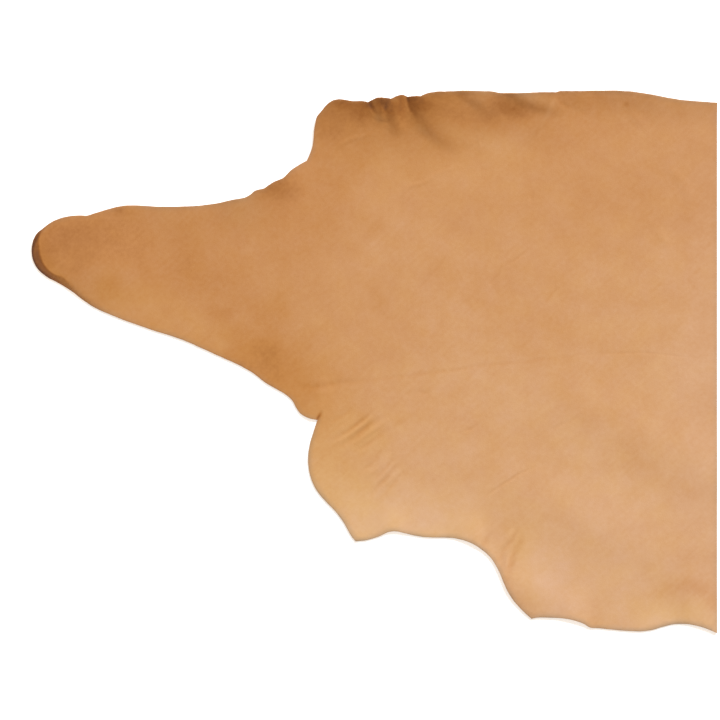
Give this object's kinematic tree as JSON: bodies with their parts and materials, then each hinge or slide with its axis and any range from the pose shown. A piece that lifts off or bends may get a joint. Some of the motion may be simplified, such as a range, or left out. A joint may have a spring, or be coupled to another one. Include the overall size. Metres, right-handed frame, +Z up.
{
  "type": "leather shoulder",
  "caption": "Thin uneven sheet of natural leather from the front quarter of a hide, lying grain side up, with a long shank, a puckered butt edge and a straight back edge.",
  "frame": {"origin": "on the table, under the middle of the hide's box", "axes": "+X from the shank tip to the straight back edge, +Y from the neck end to the butt edge, +Z up from the flesh side to the grain side"},
  "size_m": [1.096, 0.8672, 0.0254],
  "materials": {
    "leather": "natural vegetable-tanned, undyed, satin grain side"
  },
  "bodies": {
    "root": {"hide": "leather"}
  },
  "joints": []
}
